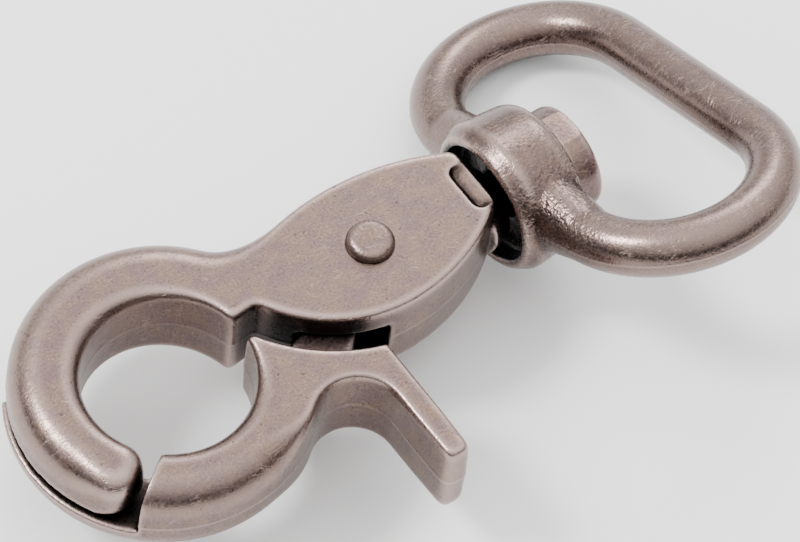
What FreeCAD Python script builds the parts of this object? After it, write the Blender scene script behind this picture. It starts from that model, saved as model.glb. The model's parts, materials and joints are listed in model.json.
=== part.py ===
import FreeCAD, Part
import math
import os

# Scissor snap hook with a swivelling webbing ring, in millimetres.
# The origin is the middle of the hook's eye, at mid thickness. +X runs along the hook to the ring,
# -Y is the thumb lever's side, and +Z is square to the cheeks.

# Castings of the body and the lever
THICKNESS = 7.0
EDGE_ROUND = 0.45
EYE_ROUND = 2.3
EYE_INNER_ROUND = 1.3
TIP_ROUND = 1.5
TIP_CORNER = 1.9
NOSE_CORNER = 1.0
NIB_CORNER = 0.6
ROUND_FADE = 30.0
NECK_FADE = 120.0
GATE_FADE = 60.0

# Eye: a round opening in a ring of metal whose outside sits a little off its middle
EYE_RADIUS = 5.8
EYE_OUTER_RADIUS = 10.4
EYE_OUTER_SHIFT = 0.65
OUTER_ROUND_SHARE = 0.6
INNER_ROUND_SHARE = 0.34
TIP_ROUND_SHARE = 0.38
TIP_CORNER_SHARE = 0.49
NIB_CORNER_SHARE = 0.4

# Cheeks, measured from the pivot on the swivel axis
SWIVEL_Y = 0.75
PIVOT_REACH = 6.7
CHEEK_FAR = 5.45
CHEEK_FAR_RADIUS = 20.0
CHEEK_NEAR = 5.4
CHEEK_NEAR_RADIUS = 14.5
CHEEK_GATE_RADIUS = 10.4
NECK_RADIUS = 5.0
NIB_ANGLE = 8.0
NIB_WALL = 1.2
NIB_BACK_ANGLE = 207.0
NOSE_REACH = 9.5

# Where the hook and the gate meet
SEAM_ANGLE = 225.5
SEAM_SLANT = 2.0
SEAM_GAP = 0.5
LAP_ANGLE = 143.0
LAP_GAP = 0.7
LAP_DROP = 0.5
LIP_PROUD = 0.3
LIP_END_GAP = 0.35

# Lever
GATE_GAP = 2.0
GATE_INNER_ANGLE = 354.0
GATE_END_WIDTH = 0.58
GATE_END_SLANT = 1.7109
THUMB_OFFSET = 3.5
THUMB_WIDTH = 2.1
THUMB_TIP_Y = -16.05
THUMB_TIP_CORNER = 0.7
NOTCH_RADIUS = 2.9
OPEN_ANGLE = 22.0

# Tang and slot
TANG_THICKNESS = 2.8
TANG_RADIUS = 3.6
TANG_ROOT_DEPTH = 0.5
TANG_LEFT = 197.0
TANG_RIGHT = 226.0
TANG_CORNER = 0.6
SLOT_SIDE_CLEARANCE = 0.1
SLOT_RIM_CLEARANCE = 0.4
SLOT_END_CLEARANCE = 2.0

# Pivot rivet
RIVET_RADIUS = 1.3
RIVET_CLEARANCE = 0.06
RIVET_HEAD_RADIUS = 1.7
RIVET_HEAD_HEIGHT = 0.75
RIVET_HEAD_ROUND = 0.65

# Torsion spring round the rivet
SPRING_WIRE = 0.5
SPRING_RADIUS = 2.1
SPRING_TURNS = 2.25
SPRING_PITCH = 0.52
SPRING_POCKET_RADIUS = 2.75
SPRING_POCKET_DEPTH = 1.9
SPRING_FOOT = 1.9
SPRING_ARM = 3.15
SPRING_START_ANGLE = -45.0
SPRING_CLEARANCE = 0.06

# Swivel post
POST_RADIUS = 1.7
POST_CLEARANCE = 0.06
POST_DEPTH = 4.2
POST_HEAD_RADIUS = 3.85
POST_HEAD_LENGTH = 2.1
POST_HEAD_ROUND = 0.5
STAKE_LENGTH = 1.5
STAKE_WIDTH = 3.6
STAKE_DEPTH = 0.5
STAKE_CORNER = 0.5
STAKE_TILT = 14.0
BOSS_ROOT_RADIUS = 3.3
BOSS_RADIUS = 2.7
BOSS_LENGTH = 0.9

# Swivel ring
COLLAR_GAP = 0.3
COLLAR_LENGTH = 5.6
COLLAR_FRONT_RADIUS = 5.0
COLLAR_RADIUS = 5.7
COLLAR_BACK_RADIUS = 5.3
COLLAR_CHAMFER = 1.2
COLLAR_ROUND = 1.2
COLLAR_DISH_RADIUS = 4.4
COLLAR_DISH_DEPTH = 1.5
HEAD_GAP = 0.1
RING_FRONT = 7.5
RING_END = 14.77
RING_WIRE_RADIUS = 1.98
RING_BACK_ANGLE = 172.0
RING_SETBACK = 10.6
RING_TILT = -23.0
ROOT_HEIGHT = 3.4
ROOT_WIDTH = 2.6
ROOT_SHIFT = 0.5
ROOT_WAIST = 0.65
ROOT_END = 2.75

# Worked out from the sizes above
EYE = FreeCAD.Vector(0, 0, 0)
EYE_OUTER = FreeCAD.Vector(0, EYE_OUTER_SHIFT, 0)
EYE_WALL = EYE_OUTER_RADIUS - EYE_OUTER_SHIFT - EYE_RADIUS
OUTER_RIM = min(EYE_ROUND, OUTER_ROUND_SHARE * EYE_WALL)
INNER_RIM = min(EYE_INNER_ROUND, INNER_ROUND_SHARE * EYE_WALL)
TIP_RIM = min(TIP_ROUND, TIP_ROUND_SHARE * EYE_WALL)
TIP_TURN = min(TIP_CORNER, TIP_CORNER_SHARE * EYE_WALL)
GATE_ARC_Y = SWIVEL_Y - CHEEK_NEAR + CHEEK_GATE_RADIUS
NIB_REACH = EYE_RADIUS + CHEEK_GATE_RADIUS + NIB_WALL
PIVOT_X = max(EYE_OUTER_RADIUS + PIVOT_REACH, math.sqrt(NIB_REACH ** 2 - GATE_ARC_Y ** 2))
NOSE_X = PIVOT_X + NOSE_REACH
COLLAR_START_X = NOSE_X + COLLAR_GAP
POST_HEAD_X = COLLAR_START_X + COLLAR_LENGTH + HEAD_GAP
RING_CENTRE_X = COLLAR_START_X + RING_SETBACK
PIVOT = FreeCAD.Vector(PIVOT_X, SWIVEL_Y, 0)
RING_CENTRE = FreeCAD.Vector(RING_CENTRE_X, SWIVEL_Y, 0)
X_AXIS = FreeCAD.Vector(1, 0, 0)
Y_AXIS = FreeCAD.Vector(0, 1, 0)
Z_AXIS = FreeCAD.Vector(0, 0, 1)
HALF = THICKNESS / 2
WIDE = 4 * EYE_OUTER_RADIUS
GATE_ARC = FreeCAD.Vector(PIVOT_X, GATE_ARC_Y, 0)
GATE_OUTER_RADIUS = EYE_OUTER_RADIUS + LIP_PROUD
GATE_EDGE_RADIUS = CHEEK_GATE_RADIUS + GATE_GAP
LAP_TOP = LAP_GAP / 2 - LAP_DROP
TIP_INNER_ANGLE = SEAM_ANGLE + SEAM_SLANT / 2
TIP_OUTER_ANGLE = SEAM_ANGLE - SEAM_SLANT / 2
SPRING_ARM_ANGLE = SPRING_START_ANGLE + 360 * SPRING_TURNS
SPRING_BASE = TANG_THICKNESS / 2 - SPRING_POCKET_DEPTH + SPRING_WIRE / 2 + SPRING_CLEARANCE
SPRING_RISE = SPRING_PITCH * SPRING_TURNS


def at(centre, radius, degrees):
    """Point on a circle in the plan."""
    turn = math.radians(degrees)
    return centre + FreeCAD.Vector(radius * math.cos(turn), radius * math.sin(turn), 0)


def angle_of(centre, point):
    """Direction of a point seen from a centre, 0 to 360 degrees."""
    return math.degrees(math.atan2(point.y - centre.y, point.x - centre.x)) % 360


def arc(centre, radius, start, end):
    """Arc from one direction to another, either way round."""
    middle = at(centre, radius, (start + end) / 2)
    return Part.Arc(at(centre, radius, start), middle, at(centre, radius, end)).toShape()


def line(start, end):
    return Part.LineSegment(start, end).toShape()


def circle_meet(centre_a, radius_a, centre_b, radius_b, side):
    """Point where two circles cross, on the left (1) or right (-1) of the line from a to b."""
    across = centre_b - centre_a
    span = across.Length
    along = (radius_a ** 2 - radius_b ** 2 + span ** 2) / (2 * span)
    off = math.sqrt(radius_a ** 2 - along ** 2)
    forward = across * (1 / span)
    left = FreeCAD.Vector(-forward.y, forward.x, 0)
    return centre_a + forward * along + left * (side * off)


def line_meet(start, direction, centre, radius):
    """Point where a ray from inside a circle leaves it."""
    offset = start - centre
    along = offset.dot(direction)
    return start + direction * (math.sqrt(along ** 2 + radius ** 2 - offset.dot(offset)) - along)


def turn_at(centre, radius, far, reach):
    """Angle at a circle's centre between the line to a far point and the circle's point at a reach from it."""
    span = centre.distanceToPoint(far)
    cosine = (span ** 2 + radius ** 2 - reach ** 2) / (2 * span * radius)
    return math.degrees(math.acos(min(1, cosine)))


def slab(edges, low, high):
    """Prism of a closed plan outline between two heights."""
    wire = Part.Wire(Part.__sortEdges__(edges))
    wire.translate(FreeCAD.Vector(0, 0, low))
    return Part.Face(wire).extrude(FreeCAD.Vector(0, 0, high - low))


def round_rims(solid, size_of):
    """Round the edges of the top and bottom faces, each by the size that size_of gives it."""
    document = FreeCAD.newDocument()
    base = document.addObject("Part::Feature")
    base.Shape = solid
    rounding = document.addObject("Part::Fillet")
    rounding.Base = base
    chosen = []
    for number, edge in enumerate(solid.Edges, 1):
        box = edge.BoundBox
        flat = box.ZLength < 0.001 and abs(abs(box.ZMax) - HALF) < 0.001
        size = size_of(edge) if flat else None
        if size:
            chosen.append((number, size[0], size[1]))
    rounding.Edges = chosen
    document.recompute()
    result = rounding.Shape.copy()
    FreeCAD.closeDocument(document.Name)
    return result


def pie(apex, start, end):
    """Wide wedge of the plan between two directions from an apex."""
    return [
        line(apex, at(apex, WIDE, start)),
        arc(apex, WIDE, start, end),
        line(at(apex, WIDE, end), apex),
    ]


def tube_along(axis_start, axis, radius, length):
    return Part.makeCylinder(radius, length, axis_start, axis)


def rim_sizes(steps):
    """Rim rounding for an edge, from the outline steps, each an edge and the rounding at its start."""
    marks = [(edge.valueAt(edge.FirstParameter), size) for edge, size in steps]

    def size_of(edge):
        ends = [edge.valueAt(edge.FirstParameter), edge.valueAt(edge.LastParameter)]
        flat = [FreeCAD.Vector(end.x, end.y, 0) for end in ends]
        return [min(marks, key=lambda mark: mark[0].distanceToPoint(end))[1] for end in flat]
    return size_of


def upright_corners(solid, points, radius):
    """Round the upright edges that stand at the given plan points."""
    chosen = []
    for edge in solid.Edges:
        middle = edge.CenterOfMass
        plan = FreeCAD.Vector(middle.x, middle.y, 0)
        upright = edge.BoundBox.ZLength > TANG_THICKNESS / 2
        if upright and any(plan.distanceToPoint(point) < 0.01 for point in points):
            chosen.append(edge)
    return solid.makeFillet(radius, chosen)


def body_casting():
    """Hook, neck, cheeks and nose as one rounded slab."""
    near_nose = FreeCAD.Vector(PIVOT_X, SWIVEL_Y - CHEEK_NEAR + CHEEK_NEAR_RADIUS, 0)
    far = FreeCAD.Vector(PIVOT_X, SWIVEL_Y + CHEEK_FAR - CHEEK_FAR_RADIUS, 0)
    neck = circle_meet(EYE_OUTER, EYE_OUTER_RADIUS + NECK_RADIUS, far, CHEEK_FAR_RADIUS + NECK_RADIUS, 1)
    neck_start = angle_of(EYE_OUTER, neck)
    neck_end = angle_of(far, neck)
    reach = NOSE_X - PIVOT_X
    near_corner = near_nose + FreeCAD.Vector(reach, -math.sqrt(CHEEK_NEAR_RADIUS ** 2 - reach ** 2), 0)
    far_corner = far + FreeCAD.Vector(reach, math.sqrt(CHEEK_FAR_RADIUS ** 2 - reach ** 2), 0)
    tip_outer = at(EYE_OUTER, EYE_OUTER_RADIUS, TIP_OUTER_ANGLE)
    tip_inner = at(EYE, EYE_RADIUS, TIP_INNER_ANGLE)
    nib = at(EYE, EYE_RADIUS, NIB_ANGLE)
    nib_back = at(GATE_ARC, CHEEK_GATE_RADIUS, NIB_BACK_ANGLE)
    fade_outer = TIP_OUTER_ANGLE - ROUND_FADE
    fade_inner = TIP_INNER_ANGLE - ROUND_FADE
    fade_neck = NIB_ANGLE + NECK_FADE
    steps = [
        (arc(EYE_OUTER, EYE_OUTER_RADIUS, neck_start, fade_outer), OUTER_RIM),
        (arc(EYE_OUTER, EYE_OUTER_RADIUS, fade_outer, TIP_OUTER_ANGLE), OUTER_RIM),
        (line(tip_outer, tip_inner), TIP_RIM),
        (arc(EYE, EYE_RADIUS, TIP_INNER_ANGLE, fade_inner), TIP_RIM),
        (arc(EYE, EYE_RADIUS, fade_inner, fade_neck), INNER_RIM),
        (arc(EYE, EYE_RADIUS, fade_neck, NIB_ANGLE), INNER_RIM),
        (line(nib, nib_back), EDGE_ROUND),
        (arc(GATE_ARC, CHEEK_GATE_RADIUS, NIB_BACK_ANGLE, 270), EDGE_ROUND),
        (arc(near_nose, CHEEK_NEAR_RADIUS, 270, angle_of(near_nose, near_corner)), EDGE_ROUND),
        (line(near_corner, far_corner), EDGE_ROUND),
        (arc(far, CHEEK_FAR_RADIUS, angle_of(far, far_corner), neck_end), EDGE_ROUND),
        (arc(neck, NECK_RADIUS, neck_end + 180, neck_start + 180), EDGE_ROUND),
    ]
    casting = slab([edge for edge, size in steps], -HALF, HALF)
    casting = upright_corners(casting, [tip_outer, tip_inner], TIP_TURN)
    casting = upright_corners(casting, [near_corner, far_corner], NOSE_CORNER)
    nib_turn = min(NIB_CORNER, NIB_CORNER_SHARE * nib.distanceToPoint(nib_back))
    casting = upright_corners(casting, [nib, nib_back], nib_turn)
    return round_rims(casting, rim_sizes(steps))


def tang_slab(start, end, extra, reach, half):
    """Round end on the pivot with a neck between two directions from it."""
    round_end = tube_along(PIVOT - Z_AXIS * half, Z_AXIS, TANG_RADIUS + extra, 2 * half)
    neck = [
        line(PIVOT, at(PIVOT, reach, start)),
        line(at(PIVOT, reach, start), at(PIVOT, reach, end)),
        line(at(PIVOT, reach, end), PIVOT),
    ]
    return round_end.fuse(slab(neck, -half, half)).removeSplitter()


def lever_tang():
    """Flat tang with its round end on the pivot, cut back to just inside the lever's edge."""
    tang = tang_slab(TANG_LEFT, TANG_RIGHT, 0, WIDE, TANG_THICKNESS / 2)
    corners = [at(PIVOT, TANG_RADIUS, angle) for angle in (TANG_LEFT, TANG_RIGHT)]
    tang = upright_corners(tang, corners, TANG_CORNER)
    reach = GATE_EDGE_RADIUS + TANG_ROOT_DEPTH
    return tang.common(tube_along(GATE_ARC - Z_AXIS * THICKNESS, Z_AXIS, reach, 2 * THICKNESS))


def tang_slot():
    """Room between the cheeks for the tang over its whole swing."""
    end = TANG_RIGHT + OPEN_ANGLE + SLOT_END_CLEARANCE
    half = TANG_THICKNESS / 2 + SLOT_SIDE_CLEARANCE
    return tang_slab(TANG_LEFT - SLOT_END_CLEARANCE, end, SLOT_RIM_CLEARANCE, WIDE, half)


def stake_mark(side):
    """Slanting punch mark across the nose: deep at its back wall, running out towards the end face."""
    back_x = NOSE_X - STAKE_LENGTH
    corner = FreeCAD.Vector(back_x, SWIVEL_Y - STAKE_WIDTH / 2, HALF - STAKE_DEPTH)
    mark = Part.makeBox(2 * STAKE_LENGTH, STAKE_WIDTH, THICKNESS, corner)
    uprights = [edge for edge in mark.Edges if edge.BoundBox.ZLength > HALF]
    mark = mark.makeFillet(STAKE_CORNER, [edge for edge in uprights if edge.BoundBox.XMax < NOSE_X])
    mark.rotate(corner, Y_AXIS, -STAKE_TILT)
    if side < 0:
        mark = mark.mirror(EYE, Z_AXIS)
    return mark


def nose_boss():
    """Short cone round the post, inside the collar's dish."""
    start = FreeCAD.Vector(NOSE_X - BOSS_LENGTH, SWIVEL_Y, 0)
    return Part.makeCone(BOSS_ROOT_RADIUS, BOSS_RADIUS, 2 * BOSS_LENGTH, start, X_AXIS)


def hook_body():
    """Body casting with the lap under its tip, the slot, both bores and the punch marks."""
    body = body_casting()
    lap = slab(pie(EYE, LAP_ANGLE, TIP_INNER_ANGLE + ROUND_FADE / 2), -THICKNESS, LAP_TOP)
    body = body.cut(lap)
    body = body.cut(tang_slot()).fuse(nose_boss())
    body = body.cut(tube_along(PIVOT - Z_AXIS * THICKNESS, Z_AXIS, RIVET_RADIUS, 2 * THICKNESS))
    bore_start = FreeCAD.Vector(NOSE_X - POST_DEPTH, SWIVEL_Y, 0)
    body = body.cut(tube_along(bore_start, X_AXIS, POST_RADIUS, 2 * POST_DEPTH))
    for side in (1, -1):
        body = body.cut(stake_mark(side))
    return body


def lever_casting():
    """Gate, lip and thumb tail as one rounded slab, before the lap is cut."""
    thumb_right = PIVOT_X - THUMB_OFFSET
    thumb_left = thumb_right - THUMB_WIDTH
    notch_x = thumb_left - NOTCH_RADIUS
    notch_drop = math.sqrt((GATE_OUTER_RADIUS + NOTCH_RADIUS) ** 2 - notch_x ** 2)
    notch = FreeCAD.Vector(notch_x, EYE_OUTER_SHIFT - notch_drop, 0)
    notch_start = angle_of(EYE_OUTER, notch)
    fade_outer = notch_start - ROUND_FADE
    lip_side = at(EYE, LIP_END_GAP, LAP_ANGLE + 90)
    lip_outer = line_meet(lip_side, at(EYE, 1, LAP_ANGLE), EYE_OUTER, GATE_OUTER_RADIUS)
    lip_inner = line_meet(lip_side, at(EYE, 1, LAP_ANGLE), EYE, EYE_RADIUS)
    thinnest = turn_at(EYE, EYE_RADIUS, GATE_ARC, GATE_EDGE_RADIUS + GATE_END_WIDTH)
    end_angle = min(GATE_INNER_ANGLE, angle_of(EYE, GATE_ARC) + 360 - thinnest)
    fade_inner = end_angle - GATE_FADE
    corner = at(EYE, EYE_RADIUS, end_angle)
    back_angle = angle_of(GATE_ARC, corner) + GATE_END_SLANT
    corner_back = at(GATE_ARC, GATE_EDGE_RADIUS, back_angle)
    thumb_top_angle = 180 + math.degrees(math.acos((PIVOT_X - thumb_right) / GATE_EDGE_RADIUS))
    thumb_top = at(GATE_ARC, GATE_EDGE_RADIUS, thumb_top_angle)
    tip_right = FreeCAD.Vector(thumb_right, THUMB_TIP_Y, 0)
    tip_left = FreeCAD.Vector(thumb_left, THUMB_TIP_Y, 0)
    steps = [
        (line(corner, corner_back), EDGE_ROUND),
        (arc(GATE_ARC, GATE_EDGE_RADIUS, back_angle, thumb_top_angle), EDGE_ROUND),
        (line(thumb_top, tip_right), EDGE_ROUND),
        (line(tip_right, tip_left), EDGE_ROUND),
        (line(tip_left, at(notch, NOTCH_RADIUS, 0)), EDGE_ROUND),
        (arc(notch, NOTCH_RADIUS, 0, notch_start - 180), EDGE_ROUND),
        (arc(EYE_OUTER, GATE_OUTER_RADIUS, notch_start, fade_outer), EDGE_ROUND),
        (arc(EYE_OUTER, GATE_OUTER_RADIUS, fade_outer, angle_of(EYE_OUTER, lip_outer)), OUTER_RIM),
        (line(lip_outer, lip_inner), OUTER_RIM),
        (arc(EYE, EYE_RADIUS, angle_of(EYE, lip_inner), fade_inner), INNER_RIM),
        (arc(EYE, EYE_RADIUS, fade_inner, end_angle), INNER_RIM),
    ]
    lip_end = (lip_outer + lip_inner) * 0.5
    lever = slab([edge for edge, size in steps], -HALF, HALF)
    lever = upright_corners(lever, [tip_right, tip_left], THUMB_TIP_CORNER)
    sizes = rim_sizes(steps)

    def rim_of(edge):
        middle = edge.CenterOfMass
        at_lip_end = FreeCAD.Vector(middle.x, middle.y, 0).distanceToPoint(lip_end) < 0.01
        return None if at_lip_end else sizes(edge)
    return round_rims(lever, rim_of)


def spring_leg(degrees, height, turn, length, radius):
    """Straight leg that leaves the coil along its tangent, turn being 1 onwards or -1 back."""
    climb = SPRING_PITCH / (math.tau * SPRING_RADIUS)
    away = (at(EYE, 1, degrees + 90) + Z_AXIS * climb) * turn
    start = at(PIVOT, SPRING_RADIUS, degrees) + Z_AXIS * height
    return tube_along(start, away, radius, length)


def lever_spring():
    """Torsion spring: a foot in the tang's notch, the coil, and an arm on the slot's far wall."""
    wire = SPRING_WIRE / 2
    lean = FreeCAD.Vector(0, math.tau * SPRING_RADIUS, SPRING_PITCH)
    section = Part.Wire(Part.makeCircle(wire, X_AXIS * SPRING_RADIUS, lean))
    helix = Part.Wire(Part.makeHelix(SPRING_PITCH, SPRING_RISE, SPRING_RADIUS))
    coil = helix.makePipeShell([section], True, True)
    coil.rotate(EYE, Z_AXIS, SPRING_START_ANGLE)
    coil.translate(PIVOT + Z_AXIS * SPRING_BASE)
    foot = spring_leg(SPRING_START_ANGLE, SPRING_BASE, -1, SPRING_FOOT, wire)
    arm = spring_leg(SPRING_ARM_ANGLE, SPRING_BASE + SPRING_RISE, 1, SPRING_ARM, wire)
    return coil.fuse([foot, arm])


def spring_room():
    """Pocket for the coil, notch for its foot and window that the arm stays clear of."""
    floor = PIVOT + Z_AXIS * (TANG_THICKNESS / 2 - SPRING_POCKET_DEPTH)
    pocket = tube_along(floor, Z_AXIS, SPRING_POCKET_RADIUS, THICKNESS)
    wire = SPRING_WIRE / 2 + SPRING_CLEARANCE
    notch = spring_leg(SPRING_START_ANGLE, SPRING_BASE, -1, SPRING_FOOT + SPRING_CLEARANCE, wire)
    reach = math.degrees(math.atan2(SPRING_ARM, SPRING_RADIUS))
    margin = math.degrees(SPRING_WIRE / SPRING_RADIUS)
    arm_floor = SPRING_BASE + SPRING_RISE - SPRING_WIRE
    wedge = pie(PIVOT, SPRING_ARM_ANGLE + margin - OPEN_ANGLE / 2, SPRING_ARM_ANGLE + reach + margin)
    window = slab(wedge, arm_floor, THICKNESS)
    return [pocket, notch, window]


def trigger_lever():
    """Lever casting with its lap cut down and the tang in place."""
    lever = lever_casting()
    seam_in = at(EYE, EYE_RADIUS, TIP_INNER_ANGLE)
    seam_out = at(EYE_OUTER, EYE_OUTER_RADIUS, TIP_OUTER_ANGLE)
    seam = seam_out - seam_in
    seam.normalize()
    away = FreeCAD.Vector(-seam.y, seam.x, 0) * SEAM_GAP
    inside_eye = seam_in + away - seam * (EYE_RADIUS / 2)
    lap = pie(inside_eye, LAP_ANGLE - ROUND_FADE, angle_of(EYE, seam))
    lever = lever.cut(slab(lap, LAP_TOP - LAP_GAP, THICKNESS))
    tang = lever_tang()
    shank = RIVET_RADIUS + RIVET_CLEARANCE
    tang = tang.cut(tube_along(PIVOT - Z_AXIS * THICKNESS, Z_AXIS, shank, 2 * THICKNESS))
    for room in spring_room():
        tang = tang.cut(room)
    return lever.fuse(tang).removeSplitter()


def pivot_rivet():
    """Shank through both cheeks with a flattened dome on each face."""
    shank = tube_along(PIVOT - Z_AXIS * HALF, Z_AXIS, RIVET_RADIUS, THICKNESS)
    head = tube_along(PIVOT + Z_AXIS * HALF, Z_AXIS, RIVET_HEAD_RADIUS, RIVET_HEAD_HEIGHT)
    crown = [edge for edge in head.Edges if edge.BoundBox.ZMin > HALF + RIVET_HEAD_ROUND]
    head = head.makeFillet(RIVET_HEAD_ROUND, crown)
    return shank.fuse([head, head.mirror(EYE, Z_AXIS)])


def swivel_post():
    """Shank through the collar into the nose, and the round head inside the ring."""
    shank_x = NOSE_X - POST_DEPTH
    start = FreeCAD.Vector(shank_x, SWIVEL_Y, 0)
    shank = tube_along(start, X_AXIS, POST_RADIUS, POST_HEAD_X - shank_x)
    head = tube_along(start + X_AXIS * shank.BoundBox.XLength, X_AXIS, POST_HEAD_RADIUS, POST_HEAD_LENGTH)
    rim = [edge for edge in head.Edges if edge.BoundBox.XMin > POST_HEAD_X + POST_HEAD_ROUND]
    return head.makeFillet(POST_HEAD_ROUND, rim).fuse(shank)


def ring_path():
    """Middle line of half the ring's bar: front bar, round end and arm into the collar."""
    end_centre = FreeCAD.Vector(0, RING_END - RING_FRONT, 0)
    back = at(end_centre, RING_FRONT, RING_BACK_ANGLE)
    lean = math.radians(180 - RING_BACK_ANGLE)
    collar_point = FreeCAD.Vector(back.x - (back.y - POST_RADIUS) * math.tan(lean), POST_RADIUS, 0)
    return Part.Wire([
        line(FreeCAD.Vector(RING_FRONT, 0, 0), FreeCAD.Vector(RING_FRONT, end_centre.y, 0)),
        arc(end_centre, RING_FRONT, 0, RING_BACK_ANGLE),
        line(back, collar_point),
    ])


def oval(centre, width, height):
    """Upright oval outline, square to Y, from its half width and half height."""
    stretch = FreeCAD.Matrix()
    stretch.scale(width, 1, height)
    outline = Part.makeCircle(1, EYE, Y_AXIS).transformGeometry(stretch)
    outline.translate(centre)
    return Part.Wire(outline.Edges)


def root_flare():
    """Widening of the bar where its arm runs into the collar."""
    lean = math.radians(180 - RING_BACK_ANGLE)
    start = at(FreeCAD.Vector(0, RING_END - RING_FRONT, 0), RING_FRONT, RING_BACK_ANGLE)
    run = FreeCAD.Vector(-math.tan(lean), -1, 0) * (start.y - ROOT_END) + X_AXIS * ROOT_SHIFT
    middle_width = RING_WIRE_RADIUS + (ROOT_WIDTH - RING_WIRE_RADIUS) * ROOT_WAIST
    middle_height = RING_WIRE_RADIUS + (ROOT_HEIGHT - RING_WIRE_RADIUS) * ROOT_WAIST
    outlines = [
        oval(start, RING_WIRE_RADIUS, RING_WIRE_RADIUS),
        oval(start + run * ROOT_WAIST, middle_width, middle_height),
        oval(start + run, ROOT_WIDTH, ROOT_HEIGHT),
    ]
    return Part.makeLoft(outlines, True)


def collar_blank():
    """Collar before boring: a bevelled front, a slight taper and a well rounded back edge."""
    start = FreeCAD.Vector(COLLAR_START_X - RING_CENTRE_X, 0, 0)
    shoulder = start + X_AXIS * COLLAR_CHAMFER
    length = COLLAR_LENGTH - COLLAR_CHAMFER
    bevel = Part.makeCone(COLLAR_FRONT_RADIUS, COLLAR_RADIUS, COLLAR_CHAMFER, start, X_AXIS)
    barrel = Part.makeCone(COLLAR_RADIUS, COLLAR_BACK_RADIUS, length, shoulder, X_AXIS)
    rim = [edge for edge in barrel.Edges if edge.BoundBox.XMin > shoulder.x + length - COLLAR_GAP]
    return barrel.makeFillet(COLLAR_ROUND, rim).fuse(bevel)


def swivel_ring():
    """Bar and collar as one casting, turned about the swivel axis to where it hangs at rest."""
    half_path = ring_path()
    section = Part.Wire(Part.makeCircle(RING_WIRE_RADIUS, FreeCAD.Vector(RING_FRONT, 0, 0), Y_AXIS))
    half = half_path.makePipeShell([section], True, True).fuse(root_flare())
    ring = half.fuse([half.mirror(EYE, Y_AXIS), collar_blank()])
    start = FreeCAD.Vector(COLLAR_START_X - RING_CENTRE_X, 0, 0)
    bore = POST_RADIUS + POST_CLEARANCE
    ring = ring.cut(tube_along(start - X_AXIS, X_AXIS, bore, COLLAR_LENGTH + 2))
    ring = ring.cut(tube_along(start - X_AXIS, X_AXIS, COLLAR_DISH_RADIUS, COLLAR_DISH_DEPTH + 1))
    ring.rotate(EYE, X_AXIS, RING_TILT)
    ring.translate(RING_CENTRE)
    return ring


def main():
    os.makedirs("parts", exist_ok=True)
    pieces = {
        "hook_body": hook_body(),
        "trigger_lever": trigger_lever(),
        "pivot_rivet": pivot_rivet(),
        "lever_spring": lever_spring(),
        "swivel_post": swivel_post(),
        "swivel_ring": swivel_ring(),
    }
    for name, solid in pieces.items():
        solid.exportStep("parts/" + name + ".step")
        print(name, solid.isValid(), len(solid.Solids), round(solid.Volume, 1))


main()
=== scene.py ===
# %% [markdown]
# # Scissor snap hook with a swivelling ring
# A small zinc casting with a satin gunmetal plating. The solids already have the right size and place,
# so this lesson gives them softened edges, draft and parting lines as a real casting has, a plating that is worn
# bright on the edges, painted shade in its corners and creases that stands in part for dark oxide, and a soft
# studio to photograph it in.

# %% Load the imported frame
import json
import math

import bmesh
import bpy
from mathutils import Matrix, Vector


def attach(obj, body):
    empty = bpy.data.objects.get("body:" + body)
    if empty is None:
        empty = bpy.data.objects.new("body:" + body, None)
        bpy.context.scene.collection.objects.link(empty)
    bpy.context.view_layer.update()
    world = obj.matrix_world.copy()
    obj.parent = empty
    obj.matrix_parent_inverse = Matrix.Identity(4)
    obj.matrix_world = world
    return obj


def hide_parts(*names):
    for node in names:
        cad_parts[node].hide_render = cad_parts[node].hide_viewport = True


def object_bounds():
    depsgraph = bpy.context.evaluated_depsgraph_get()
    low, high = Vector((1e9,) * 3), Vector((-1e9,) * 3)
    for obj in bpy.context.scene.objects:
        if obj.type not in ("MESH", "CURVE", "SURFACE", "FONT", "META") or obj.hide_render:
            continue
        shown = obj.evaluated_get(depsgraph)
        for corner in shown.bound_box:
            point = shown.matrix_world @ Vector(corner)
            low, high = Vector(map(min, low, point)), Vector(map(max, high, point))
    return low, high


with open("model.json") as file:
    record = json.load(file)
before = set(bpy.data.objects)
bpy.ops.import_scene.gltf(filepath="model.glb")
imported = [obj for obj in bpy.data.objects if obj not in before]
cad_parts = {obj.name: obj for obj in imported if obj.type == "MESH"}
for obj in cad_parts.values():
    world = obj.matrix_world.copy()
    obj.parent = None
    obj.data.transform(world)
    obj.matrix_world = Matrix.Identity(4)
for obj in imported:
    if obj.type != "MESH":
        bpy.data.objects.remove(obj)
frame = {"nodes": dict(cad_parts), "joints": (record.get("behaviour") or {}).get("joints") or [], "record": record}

cad_low, cad_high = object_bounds()
MM = 0.001
print("solids:", sorted(frame["nodes"]))

# %% [markdown]
# ## Places on the hook
# Everything is placed from the frame: the eye is the origin, and the two joints give the rivet's axis
# and the ring's centre. Reading them, and not copying numbers, keeps the lesson right if the model grows.

# %% Places
JOINTS = {joint["name"]: joint for joint in frame["joints"]}
MOUNTS = {mount["name"]: mount for mount in frame["record"]["mounts"]}
PIVOT = Vector(JOINTS["lever_pivot"]["pos_m"])
RING_CENTRE = Vector(JOINTS["ring_swivel"]["pos_m"])
RING_NORMAL = Vector(MOUNTS["swivel_eye"]["axis"]).normalized()
UP = Vector((0, 0, 1))
print("pivot", PIVOT, "ring", RING_CENTRE)

# %% [markdown]
# ## A node tree builder
# Shader trees and geometry trees are the same kind of graph. One small helper adds a node, fills its
# sockets by name and links what is passed as a socket, so that each tree below reads like a recipe.

# %% Node helpers
def add(tree, kind, inputs=None, **settings):
    node = tree.nodes.new(kind)
    for key, value in settings.items():
        setattr(node, key, value)
    for key, value in (inputs or {}).items():
        socket = node.inputs[key]
        if isinstance(value, bpy.types.NodeSocket):
            tree.links.new(value, socket)
        else:
            socket.default_value = value
    return node


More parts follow.
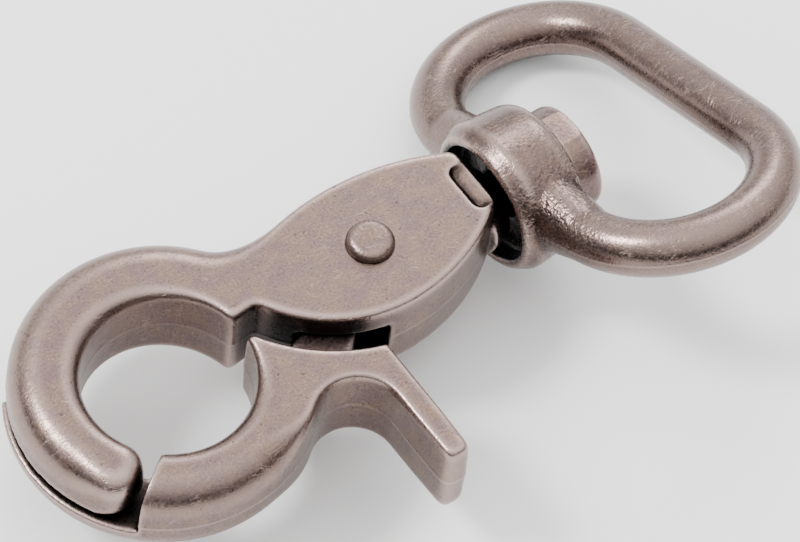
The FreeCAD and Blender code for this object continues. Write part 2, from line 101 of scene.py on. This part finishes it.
def math_node(tree, operation, a, b=0.0):
    return add(tree, "ShaderNodeMath", {0: a, 1: b}, operation=operation).outputs[0]


# %% [markdown]
# The vector node does the same for directions and places. Two of its operations give a plain number, so
# the helper hands back the right one of its two outputs.

# %% Vector helpers
NUMBER_OPERATIONS = ("DOT_PRODUCT", "DISTANCE")


def vector_node(tree, operation, a, b=(0, 0, 0)):
    node = add(tree, "ShaderNodeVectorMath", {0: a, 1: b}, operation=operation)
    return node.outputs["Value" if operation in NUMBER_OPERATIONS else "Vector"]


def scaled(tree, vector, factor):
    inputs = {0: vector, "Scale": factor}
    return add(tree, "ShaderNodeVectorMath", inputs, operation="SCALE").outputs["Vector"]


# %% [markdown]
# ## The casting finish
# A die casting is never as crisp as its drawing: the die's corners are worn, the walls lean a little so
# that the piece can leave the die, and a faint ridge runs where the two die halves met. All of it follows
# a rule on the surface, so Geometry Nodes make it. Sculpting could do it too, but a rule gives every
# casting the same finish. These are the tree's inputs, in millimetres, with the values of a plain casting.

# %% Inputs of the casting finish
FINISH_INPUTS = {
    "Smoothing passes": ("NodeSocketInt", 5),
    "Worn passes": ("NodeSocketInt", 60),
    "Worn centre": ("NodeSocketVector", (0, 0, 0)),
    "Worn reach": ("NodeSocketFloat", 0.01),
    "Parting point": ("NodeSocketVector", (0, 0, 0)),
    "Parting normal": ("NodeSocketVector", (0, 0, 1)),
    "Draft slope": ("NodeSocketFloat", 0.03),
    "Ridge height": ("NodeSocketFloat", 0.05),
    "Ridge half width": ("NodeSocketFloat", 0.12),
    "Ripple depth": ("NodeSocketFloat", 0.02),
    "Ripple scale": ("NodeSocketFloat", 0.7),
    "Ripple centre": ("NodeSocketVector", (0, 0, 0)),
    "Ripple reach": ("NodeSocketFloat", 8.0),
    "Edge and crease passes": ("NodeSocketInt", 14),
    "Edge and crease height": ("NodeSocketFloat", 0.05),
    "Material": ("NodeSocketMaterial", None),
}


def empty_finish():
    tree = bpy.data.node_groups.new("casting_finish", "GeometryNodeTree")
    face = tree.interface
    face.new_socket("Geometry", in_out="INPUT", socket_type="NodeSocketGeometry")
    for name, (kind, value) in FINISH_INPUTS.items():
        socket = face.new_socket(name, in_out="INPUT", socket_type=kind)
        if value is not None:
            socket.default_value = value
    face.new_socket("Geometry", in_out="OUTPUT", socket_type="NodeSocketGeometry")
    return tree


FINISH = empty_finish()
GIVEN = add(FINISH, "NodeGroupInput").outputs
PLACE = add(FINISH, "GeometryNodeInputPosition").outputs[0]
NORMAL = add(FINISH, "GeometryNodeInputNormal").outputs[0]
print("casting finish:", len(FINISH_INPUTS), "inputs")

# %% [markdown]
# ### Soft and worn edges
# Blurring the points' places rounds every edge by the same small amount. Where the piece is handled most,
# a second, longer blur wears it rounder still. Its weight fades with the distance from one point, so there
# is no seam between worn and plain metal. A bevel would need clean edges, which a casting's net lacks.

# %% Soft and worn edges
def blurred(passes, weight=1.0):
    inputs = {"Value": PLACE, "Iterations": passes, "Weight": weight}
    return add(FINISH, "GeometryNodeBlurAttribute", inputs, data_type="FLOAT_VECTOR").outputs[0]


def eased(value, reach, strength):
    inputs = {"Value": value, "From Max": reach, "To Min": strength, "To Max": 0.0}
    return add(FINISH, "ShaderNodeMapRange", inputs, interpolation_type="SMOOTHSTEP").outputs[0]


def fading(centre, reach, strength):
    return eased(vector_node(FINISH, "DISTANCE", PLACE, centre), reach, strength)


def moved(geometry, position):
    inputs = {"Geometry": geometry, "Position": position}
    return add(FINISH, "GeometryNodeSetPosition", inputs).outputs[0]


worn = fading(GIVEN["Worn centre"], GIVEN["Worn reach"], 1.0)
soft = moved(GIVEN["Geometry"], blurred(GIVEN["Smoothing passes"]))
soft = moved(soft, blurred(GIVEN["Worn passes"], worn))
print("nodes after the edges:", len(FINISH.nodes))

# %% [markdown]
# ### Draft and parting ridge
# Each wall is pulled in by its height above the parting plane, which makes the draft, and pushed out
# close to that plane, which makes the ridge. Both act along the normal's share within the plane, so the
# flat faces stay where they are.

# %% Draft and parting ridge
def beside_plane():
    plane = GIVEN["Parting normal"]
    from_plane = vector_node(FINISH, "SUBTRACT", PLACE, GIVEN["Parting point"])
    height = math_node(FINISH, "ABSOLUTE", vector_node(FINISH, "DOT_PRODUCT", from_plane, plane))
    ridge = eased(height, GIVEN["Ridge half width"], GIVEN["Ridge height"])
    pull = math_node(FINISH, "MULTIPLY", height, GIVEN["Draft slope"])
    outwards = math_node(FINISH, "SUBTRACT", ridge, pull)
    upright = scaled(FINISH, plane, vector_node(FINISH, "DOT_PRODUCT", NORMAL, plane))
    return scaled(FINISH, vector_node(FINISH, "SUBTRACT", NORMAL, upright), outwards)


walls = beside_plane()
print("nodes after the walls:", len(FINISH.nodes))

# %% [markdown]
# ### Ripples
# Molten zinc and the trimming after it leave shallow waves. Noise along the normal makes them, and they
# fade with the distance from a point too, because they show most at the root of a branch.

# %% Ripples
RIPPLE_DETAIL = 1.5


def rippled():
    inputs = {"Vector": PLACE, "Scale": GIVEN["Ripple scale"], "Detail": RIPPLE_DETAIL}
    wave = math_node(FINISH, "SUBTRACT", add(FINISH, "ShaderNodeTexNoise", inputs).outputs[0], 0.5)
    strength = fading(GIVEN["Ripple centre"], GIVEN["Ripple reach"], GIVEN["Ripple depth"])
    return scaled(FINISH, NORMAL, math_node(FINISH, "MULTIPLY", wave, strength))


offset = vector_node(FINISH, "ADD", walls, rippled())
cast = add(FINISH, "GeometryNodeSetPosition", {"Geometry": soft, "Offset": offset}).outputs[0]
print("nodes after the ripples:", len(FINISH.nodes))

# %% [markdown]
# ### Worn edges and creases, and the end of the tree
# How far a point stands out of its blurred neighbourhood tells an edge from a corner. That is kept with
# the mesh as the attribute that the plating reads: it makes edges worn bright and paints shade into corners
# and creases. The tree ends with real instances and the material, so that an export gets a plain mesh.

# %% Worn edges, creases and output
proud = vector_node(FINISH, "SUBTRACT", PLACE, blurred(GIVEN["Edge and crease passes"]))
proud = vector_node(FINISH, "DOT_PRODUCT", NORMAL, proud)
proud = math_node(FINISH, "DIVIDE", proud, GIVEN["Edge and crease height"])
inputs = {"Geometry": cast, "Name": "wear_and_crease_shade", "Value": proud}
kept = add(FINISH, "GeometryNodeStoreNamedAttribute", inputs, data_type="FLOAT", domain="POINT").outputs[0]
smooth = add(FINISH, "GeometryNodeSetShadeSmooth", {"Geometry": kept}).outputs[0]
whole = add(FINISH, "GeometryNodeRealizeInstances", {"Geometry": smooth}).outputs[0]
inputs = {"Geometry": whole, "Material": GIVEN["Material"]}
painted = add(FINISH, "GeometryNodeSetMaterial", inputs).outputs[0]
add(FINISH, "NodeGroupOutput", {"Geometry": painted})
print("casting finish:", len(FINISH.nodes), "nodes")

# %% [markdown]
# ## From solid to casting
# The solid's triangles are long and uneven, which no smoothing likes. A copy is merged and rebuilt as a
# fine, even net with the Remesh modifier's voxels, and then finished by the tree above. Subdividing the
# solid instead would keep its sliver triangles and their streaky highlights. The copy is worked in
# millimetres, because voxels that small are below what the modifier takes in metres.

# %% Copy a solid
MERGE_DISTANCE = 0.0005


def merged_copy(node):
    mesh = frame["nodes"][node].data.copy()
    mesh.transform(Matrix.Scale(1 / MM, 4))
    shell = bmesh.new()
    shell.from_mesh(mesh)
    bmesh.ops.remove_doubles(shell, verts=shell.verts, dist=MERGE_DISTANCE)
    shell.to_mesh(mesh)
    shell.free()
    mesh.materials.clear()
    return mesh


# %% [markdown]
# The finished net becomes a plain mesh in metres. It then rides on the body that its solid belongs to,
# and stands in for that solid, which is hidden. Its material comes from the finish tree.

# %% Make a casting
BODIES = frame["record"]["behaviour"]["bodies"]


def set_inputs(modifier, values):
    for item in modifier.node_group.interface.items_tree:
        if item.item_type == "SOCKET" and item.name in values:
            modifier[item.identifier] = values[item.name]


def finished_mesh(piece):
    graph = bpy.context.evaluated_depsgraph_get()
    mesh = bpy.data.meshes.new_from_object(piece.evaluated_get(graph))
    mesh.name = piece.name
    mesh.transform(Matrix.Scale(MM, 4))
    return mesh


def make_casting(node, name, net_size, material, finish):
    piece = bpy.data.objects.new(name, merged_copy(node))
    bpy.context.scene.collection.objects.link(piece)
    net = piece.modifiers.new("net", "REMESH")
    net.mode = "VOXEL"
    net.voxel_size = net_size
    rule = piece.modifiers.new("finish", "NODES")
    rule.node_group = FINISH
    set_inputs(rule, {**finish, "Material": material})
    mesh = finished_mesh(piece)
    piece.modifiers.clear()
    piece.data = mesh
    body = next(key for key, names in BODIES.items() if node in names)
    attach(piece, body)
    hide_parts(node)
    print(name, len(mesh.polygons), "faces")
    return piece


# %% [markdown]
# ## Satin gunmetal plating
# The real finish is a thin dark nickel over polished zinc. It is a metal all over, so one Principled
# shader with full metallic makes it, and the finish comes from its colour, its roughness and its bump.
# First come three small helpers: one that stretches a value between two levels, one that mixes colours,
# and one for plain noise.

# %% Shading helpers
def ramp(tree, value, low, high, to_low=0.0, to_high=1.0):
    inputs = {"Value": value, "From Min": low, "From Max": high, "To Min": to_low, "To Max": to_high}
    return add(tree, "ShaderNodeMapRange", inputs).outputs[0]


def colour_mix(tree, factor, first, second):
    node = tree.nodes.new("ShaderNodeMix")
    node.data_type = "RGBA"
    tree.links.new(factor, node.inputs["Factor"])
    for socket, value in ((node.inputs[6], first), (node.inputs[7], second)):
        if isinstance(value, bpy.types.NodeSocket):
            tree.links.new(value, socket)
        else:
            socket.default_value = (*value, 1)
    return node.outputs[2]


def noise(tree, place, scale, detail):
    return add(tree, "ShaderNodeTexNoise", {"Vector": place, "Scale": scale, "Detail": detail}).outputs[0]


# %% [markdown]
# ## Hairline scratches
# Handling leaves short hairlines that cross in all directions. Noise stretched along one direction and cut
# off near its peaks gives dashes, and several directions laid over each other give the tangle. A painted
# picture would give it too, but noise on object coordinates needs no file and has no seams.

# %% Scratches
SCRATCH_TURNS = (12, 39, 68, 97, 131, 163)
SCRATCH_STRETCH = (0.8, 11.0, 2.0)
SCRATCH_SHIFT = (7.3, 3.1, 0)
SCRATCH_PEAKS = (0.68, 0.76)
SCRATCH_BEND = 2.5
BEND_SCALE = 0.35


def scratches(tree, place):
    bend = add(tree, "ShaderNodeTexNoise", {"Vector": place, "Scale": BEND_SCALE}).outputs["Color"]
    place = vector_node(tree, "ADD", place, scaled(tree, bend, SCRATCH_BEND))
    found = None
    for number, degrees in enumerate(SCRATCH_TURNS):
        inputs = {
            "Vector": place,
            "Rotation": (0, 0, math.radians(degrees)),
            "Location": [shift * number for shift in SCRATCH_SHIFT],
            "Scale": SCRATCH_STRETCH,
        }
        turned = add(tree, "ShaderNodeMapping", inputs).outputs[0]
        thin = ramp(tree, noise(tree, turned, 1.0, 1.0), *SCRATCH_PEAKS)
        found = thin if found is None else math_node(tree, "MAXIMUM", found, thin)
    return found


# %% [markdown]
# ## Colour of the plating
# It drifts between a warmer and a greyer tone. Edges are worn brighter, from the edge and crease measure
# that the casting finish kept, and the same measure paints shade into the creases. An Ambient Occlusion
# node paints shade into the deep corners and gaps between parts, which stands in part for dark oxide
# there. All of it is read from object coordinates or kept with the mesh, so nothing slides.

# %% Colour
CORNER_REACH = 4 * MM


def worn_and_shaded_colour(tree, place, tones, grain, lines, pits):
    plain, warm, dark, bright = tones
    wear_and_crease_shade = add(tree, "ShaderNodeAttribute", attribute_name="wear_and_crease_shade").outputs["Fac"]
    corner_shade_ao = add(tree, "ShaderNodeAmbientOcclusion", {"Distance": CORNER_REACH}, samples=8).outputs["AO"]
    colour = colour_mix(tree, ramp(tree, noise(tree, place, 0.8, 4.0), 0.4, 0.6), plain, warm)
    for share, tone in (
        (ramp(tree, grain, 0.45, 0.3, 0.0, 0.3), dark),
        (ramp(tree, grain, 0.55, 0.7, 0.0, 0.25), bright),
        (ramp(tree, wear_and_crease_shade, 0.1, 0.8, 0.0, 0.7), bright),
        # painted shade: concave creases are darkened from the same measure, standing in part for dark oxide
        (ramp(tree, wear_and_crease_shade, -0.1, -1.0, 0.0, 0.7), dark),
        (math_node(tree, "MULTIPLY", lines, 0.4), bright),
        (math_node(tree, "MULTIPLY", pits, 0.4), dark),
        # painted shade: Ambient Occlusion darkens deep corners and gaps between parts, standing in part for dark
        # oxide
        (ramp(tree, corner_shade_ao, 0.75, 0.35), dark),
    ):
        colour = colour_mix(tree, share, colour, tone)
    return colour


# %% [markdown]
# ## Relief of the plating
# Hairlines and pits are sunk, a satin grain stands proud, and near one point the metal is hammered. A bump
# is enough for them, because all are a few hundredths of a millimetre deep and never break the outline.

# %% Relief
HAIRLINE_RELIEF = -0.012
GRAIN_RELIEF = 0.014
PIT_DEPTH = 0.01
HAMMER_CORE = 0.3


def relief_bump(tree, place, hammer, grain, lines, pits):
    centre, reach, depth = hammer
    away = vector_node(tree, "DISTANCE", place, centre)
    dents = ramp(tree, away, reach, HAMMER_CORE * reach, 0.0, depth)
    dents = math_node(tree, "MULTIPLY", dents, noise(tree, place, 3.0, 1.0))
    relief = math_node(tree, "MULTIPLY", lines, HAIRLINE_RELIEF)
    relief = math_node(tree, "ADD", relief, math_node(tree, "MULTIPLY", grain, GRAIN_RELIEF))
    relief = math_node(tree, "SUBTRACT", relief, math_node(tree, "MULTIPLY", pits, PIT_DEPTH))
    relief = math_node(tree, "ADD", relief, dents)
    return add(tree, "ShaderNodeBump", {"Height": relief, "Strength": 1.0, "Distance": MM}).outputs[0]


# %% [markdown]
# ## The plating put together
# The place is turned into millimetres once, so that every scale above counts in them. Grain, hairlines and
# pits are made once too and feed colour, gloss and relief alike, because one scratch changes all three.

# %% Plating material
GLOSS_SPREAD = 0.06
HAIRLINE_GLOSS = 0.1


def plating(name, tones, roughness, hammer):
    material = bpy.data.materials.new(name)
    material.use_nodes = True
    tree = material.node_tree
    tree.nodes.clear()
    place = add(tree, "ShaderNodeTexCoord").outputs["Object"]
    place = add(tree, "ShaderNodeMapping", {"Vector": place, "Scale": (1 / MM,) * 3}).outputs[0]
    grain = noise(tree, place, 6.0, 3.0)
    patches = ramp(tree, noise(tree, place, 0.6, 1.0), 0.38, 0.6)
    lines = math_node(tree, "MULTIPLY", scratches(tree, place), patches)
    pits = ramp(tree, noise(tree, place, 3.0, 0.0), 0.21, 0.15)
    colour = worn_and_shaded_colour(tree, place, tones, grain, lines, pits)
    gloss = ramp(tree, grain, 0.3, 0.7, roughness - GLOSS_SPREAD, roughness + GLOSS_SPREAD)
    gloss = math_node(tree, "ADD", gloss, math_node(tree, "MULTIPLY", lines, HAIRLINE_GLOSS))
    bump = relief_bump(tree, place, hammer, grain, lines, pits)
    inputs = {"Base Color": colour, "Metallic": 1.0, "Roughness": gloss, "Normal": bump}
    shader = add(tree, "ShaderNodeBsdfPrincipled", inputs).outputs[0]
    add(tree, "ShaderNodeOutputMaterial", {"Surface": shader})
    return material


# %% [markdown]
# ## Four platings
# The bath is the same for all pieces, but the ring's copy has darker tones, as painted shade that stands
# in for less light on the ring. Tones go from plain and warm to a dark tone, for grain, pits and the painted
# shade in corners and creases, and bright edges. Each hammered spot is a centre, a reach and a depth in
# millimetres: strong at the ring's collar, slight on the two heads, and none on the body.

# %% Platings
GUNMETAL = ((0.150, 0.102, 0.098), (0.176, 0.120, 0.096), (0.007, 0.0065, 0.0065), (0.40, 0.30, 0.27))
# the ring's tones are darker as painted shade, standing in for less light on the ring
GUNMETAL_RING_SHADED = ((0.130, 0.089, 0.085), (0.146, 0.099, 0.083), (0.007, 0.0065, 0.0065), (0.36, 0.27, 0.24))
COLLAR = RING_CENTRE / MM + Vector((-6.5, -4.5, 2.5))
RIVET_HEAD = PIVOT / MM + 4 * UP
POST_HEAD = RING_CENTRE / MM + Vector((-4.0, 0, 0))
BODY_PLATING = plating("body_plating", GUNMETAL, 0.31, (PIVOT / MM, 2.5, 0.0))
RING_PLATING = plating("ring_plating", GUNMETAL_RING_SHADED, 0.27, (COLLAR, 7.0, 0.11))
RIVET_PLATING = plating("rivet_plating", GUNMETAL, 0.32, (RIVET_HEAD, 3.0, 0.03))
HEAD_PLATING = plating("head_plating", GUNMETAL, 0.32, (POST_HEAD, 8.0, 0.02))
print("plating nodes:", len(BODY_PLATING.node_tree.nodes))

# %% [markdown]
# ## Body and lever
# Both are cast with the parting plane through the middle of the cheeks, which is the finish's own. The
# hook's tip and the thumb end of the lever are handled most, so each has its worn spot there.

# %% Body and lever
HOOK_TIP = Vector((-5.6, -5.7, -0.2))
THUMB_TIP = Vector((12.6, -16.0, 0))
BODY_FINISH = {"Worn centre": HOOK_TIP, "Worn reach": 3.6}
LEVER_FINISH = {"Worn centre": THUMB_TIP, "Worn reach": 5.0, "Worn passes": 30}
make_casting("hook_body", "hook_body_cast", 0.14, BODY_PLATING, BODY_FINISH)
make_casting("trigger_lever", "trigger_lever_cast", 0.12, BODY_PLATING, LEVER_FINISH)

# %% [markdown]
# ## Swivel ring
# The ring parts along its own tilted plane. A round bar needs no draft, and its roots by the collar are
# rippled where the casting was trimmed.

# %% Swivel ring
RING_ROOTS = (RING_CENTRE - Vector((9 * MM, 0, 0))) / MM
RING_FINISH = {
    "Smoothing passes": 10,
    "Parting point": RING_CENTRE / MM,
    "Parting normal": RING_NORMAL,
    "Draft slope": 0.0,
    "Ridge height": 0.03,
    "Ripple centre": RING_ROOTS,
    "Ripple depth": 0.22,
}
make_casting("swivel_ring", "swivel_ring_cast", 0.12, RING_PLATING, RING_FINISH)

# %% [markdown]
# ## Rivet and post
# Both are upset cold: the rivet's head is a hammered dome, and the post's head a round button. They have
# no parting line, so their ridge and draft are nought, and a finer net keeps their small edges.

# %% Rivet and post
UPSET = {"Draft slope": 0.0, "Ridge height": 0.0}
RIVET_FINISH = {**UPSET, "Ripple centre": PIVOT / MM, "Ripple depth": 0.25}
POST_FINISH = {**UPSET, "Ripple centre": POST_HEAD, "Ripple depth": 0.12}
make_casting("pivot_rivet", "pivot_rivet_head", 0.06, RIVET_PLATING, RIVET_FINISH)
post = make_casting("swivel_post", "swivel_post_head", 0.08, HEAD_PLATING, POST_FINISH)

# %% [markdown]
# ## Flat on the post head
# The heading tool left a bright flat on top of the round head. A flat is a plane that nothing may stand out
# of, so each vertex beyond it is set back onto it. A boolean cut would do the same but leave ragged
# triangles along the flat's edge.

# %% Flat on the post head
FLAT_TURN = math.radians(85)
FLAT_REACH = 3.62 * MM


def press_flat(piece, axis_point, facing, reach):
    pressed = 0
    for vertex in piece.data.vertices:
        over = (vertex.co - axis_point).dot(facing) - reach
        if over > 0:
            vertex.co -= facing * over
            pressed += 1
    piece.data.update()
    print("flat pressed:", pressed, "vertices")


press_flat(post, RING_CENTRE, Vector((0, math.cos(FLAT_TURN), math.sin(FLAT_TURN))), FLAT_REACH)

# %% [markdown]
# ## Spring wire
# The torsion spring hides between the cheeks. Its solid is already the right coil, so it stays and only
# gets a drawn steel surface: a fine mottle between two greys, with the gloss following it. Lines drawn
# round the wire would be truer, but no gap in the casting is wide enough to show them.

# %% Spring steel
WIRE_DARK = (0.30, 0.29, 0.28)
WIRE_LIGHT = (0.48, 0.47, 0.45)


def spring_steel():
    material = bpy.data.materials.new("spring_steel")
    material.use_nodes = True
    tree = material.node_tree
    shader = tree.nodes["Principled BSDF"]
    shader.inputs["Metallic"].default_value = 1.0
    place = add(tree, "ShaderNodeTexCoord").outputs["Object"]
    mottle = noise(tree, place, 9 / MM, 2.0)
    tree.links.new(colour_mix(tree, mottle, WIRE_DARK, WIRE_LIGHT), shader.inputs["Base Color"])
    tree.links.new(ramp(tree, mottle, 0.3, 0.7, 0.22, 0.4), shader.inputs["Roughness"])
    return material


spring = frame["nodes"]["lever_spring"]
spring.data.materials.clear()
spring.data.materials.append(spring_steel())
print("spring keeps", len(spring.data.polygons), "faces")

# %% [markdown]
# ## Camera
# The photograph was taken with a long lens from above the thumb side, and turned a little. The camera
# looks at a point on the cheeks, from a turn, a height and a distance, and then rolls about its own axis.

# %% Camera
LENS_MM = 218.8
CAMERA_AIM = Vector((18.99, -0.54, 0)) * MM
CAMERA_DISTANCE = 332.3 * MM
CAMERA_TURN = math.radians(-42.75)
CAMERA_HEIGHT = math.radians(57.4)
CAMERA_ROLL = math.radians(7.92)


def make_camera():
    data = bpy.data.cameras.new("photo_camera")
    data.lens = LENS_MM
    data.clip_start = CAMERA_DISTANCE / 100
    data.clip_end = CAMERA_DISTANCE * 100
    camera = bpy.data.objects.new("photo_camera", data)
    bpy.context.scene.collection.objects.link(camera)
    turn = Matrix.Rotation(CAMERA_TURN, 4, "Z") @ Matrix.Rotation(math.pi / 2 - CAMERA_HEIGHT, 4, "X")
    back = turn @ Vector((0, 0, CAMERA_DISTANCE))
    camera.matrix_world = Matrix.Translation(CAMERA_AIM + back) @ turn @ Matrix.Rotation(CAMERA_ROLL, 4, "Z")
    return camera


bpy.context.scene.camera = make_camera()
print("camera at", bpy.context.scene.camera.matrix_world.translation)

# %% [markdown]
# ## Floor
# The hook lies on a pale, matt table at the height of the ring's lowest point. It is stage and not part
# of the hook, and it is wide enough to have no edge in the picture.

# %% Floor
FLOOR_SIZE = 3.0
FLOOR_COLOUR = (0.9, 0.9, 0.9, 1)
FLOOR_ROUGHNESS = 0.9


def make_floor(height):
    mesh = bpy.data.meshes.new("table_top")
    half = FLOOR_SIZE / 2
    corners = [(-half, -half, height), (half, -half, height), (half, half, height), (-half, half, height)]
    mesh.from_pydata(corners, [], [(0, 1, 2, 3)])
    floor = bpy.data.objects.new("table_top", mesh)
    bpy.context.scene.collection.objects.link(floor)
    material = bpy.data.materials.new("pale_table")
    material.use_nodes = True
    shader = material.node_tree.nodes["Principled BSDF"]
    shader.inputs["Base Color"].default_value = FLOOR_COLOUR
    shader.inputs["Roughness"].default_value = FLOOR_ROUGHNESS
    mesh.materials.append(material)
    print("table at", height)


make_floor(cad_low.z)

# %% [markdown]
# ## Lights
# Two round soft boxes stand high on the left and behind the hook. They are small enough to draw a clear
# highlight along every rounded rim, and a bigger one would wash the satin out.

# %% Lights
def soft_light(name, place, size, power):
    data = bpy.data.lights.new(name, "AREA")
    data.shape = "DISK"
    data.size = size
    data.energy = power
    light = bpy.data.objects.new(name, data)
    bpy.context.scene.collection.objects.link(light)
    light.location = place
    light.rotation_euler = (CAMERA_AIM - Vector(place)).to_track_quat("-Z", "Y").to_euler()
    print(name, power, "watt")


soft_light("left_box", (-0.30, 0.24, 0.50), 0.16, 4.0)
soft_light("back_box", (0.36, 0.36, 0.36), 0.25, 1.2)

# %% [markdown]
# ## World
# Metal shows what surrounds it, so most of the light is a white dome, bright overhead and dimmer towards
# the table. Low on the camera's side it has a dark band, which the walls that face the camera mirror.
# That keeps them darker than the cheeks, as in the photograph. Black cards round the table would do the
# same, but would throw shadows.

# %% World
ZENITH = (0.2, 0.2, 0.96)
GLOW_FROM_TO = (0.55, 2.9)
FAR_SIDE = (0.7, 0.7, 0.0)
BAND_DIMMING = 0.12


def make_world():
    world = bpy.data.worlds.new("studio")
    bpy.context.scene.world = world
    world.use_nodes = True
    tree = world.node_tree
    direction = add(tree, "ShaderNodeTexCoord").outputs["Generated"]
    glow = ramp(tree, vector_node(tree, "DOT_PRODUCT", direction, ZENITH), 0.1, 0.95, *GLOW_FROM_TO)
    height = add(tree, "ShaderNodeSeparateXYZ", {"Vector": direction}).outputs["Z"]
    side = vector_node(tree, "DOT_PRODUCT", direction, FAR_SIDE)
    band = math_node(tree, "MULTIPLY", ramp(tree, height, 0.0, 0.15), ramp(tree, height, 0.5, 0.3))
    band = math_node(tree, "MULTIPLY", band, ramp(tree, side, 0.2, -0.2))
    glow = math_node(tree, "MULTIPLY", glow, ramp(tree, band, 0.0, 1.0, 1.0, BAND_DIMMING))
    background = tree.nodes["Background"]
    background.inputs["Color"].default_value = (1, 1, 1, 1)
    tree.links.new(glow, background.inputs["Strength"])
    print("studio:", len(tree.nodes), "nodes")


make_world()
